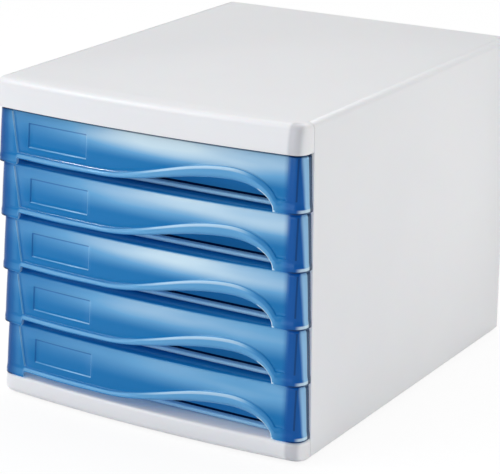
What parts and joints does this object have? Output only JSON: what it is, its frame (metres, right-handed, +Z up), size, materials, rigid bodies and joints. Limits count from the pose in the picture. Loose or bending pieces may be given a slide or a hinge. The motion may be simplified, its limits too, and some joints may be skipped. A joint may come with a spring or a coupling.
{
  "type": "desktop drawer tower",
  "caption": "Desktop drawer box: white moulded housing with a bowed front, holding shallow translucent blue sliding drawers with a wave-cut finger pull and a label field.",
  "frame": {"origin": "middle of the footprint, on the surface that the tower stands on", "axes": "+Z up, the drawers open towards -Y, +X to the right when looking at the fronts"},
  "size_m": [0.266, 0.335, 0.25],
  "materials": {
    "housing_plastic": "fine satin, pale grey white",
    "front_plastic": "clear translucent blue, polished",
    "tray_plastic": "clear translucent blue, polished",
    "foot_rubber": "matt"
  },
  "bodies": {
    "housing": {"top_cover": "housing_plastic", "base_plinth": "housing_plastic", "left_side_panel": "housing_plastic", "right_side_panel": "housing_plastic", "back_panel": "housing_plastic", "foot_front_left": "foot_rubber", "foot_front_right": "foot_rubber", "foot_rear_left": "foot_rubber", "foot_rear_right": "foot_rubber"},
    "drawer_1": {"drawer_front_1": "front_plastic", "drawer_tray_1": "tray_plastic"},
    "drawer_2": {"drawer_front_2": "front_plastic", "drawer_tray_2": "tray_plastic"},
    "drawer_3": {"drawer_front_3": "front_plastic", "drawer_tray_3": "tray_plastic"},
    "drawer_4": {"drawer_front_4": "front_plastic", "drawer_tray_4": "tray_plastic"},
    "drawer_5": {"drawer_front_5": "front_plastic", "drawer_tray_5": "tray_plastic"}
  },
  "joints": [
    {"name": "slide_1", "type": "slide", "parent": "housing", "child": "drawer_1", "axis": [0, -1, 0], "range_m": [0, 0.25]},
    {"name": "slide_2", "type": "slide", "parent": "housing", "child": "drawer_2", "axis": [0, -1, 0], "range_m": [0, 0.25]},
    {"name": "slide_3", "type": "slide", "parent": "housing", "child": "drawer_3", "axis": [0, -1, 0], "range_m": [0, 0.25]},
    {"name": "slide_4", "type": "slide", "parent": "housing", "child": "drawer_4", "axis": [0, -1, 0], "range_m": [0, 0.25]},
    {"name": "slide_5", "type": "slide", "parent": "housing", "child": "drawer_5", "axis": [0, -1, 0], "range_m": [0, 0.25]}
  ]
}
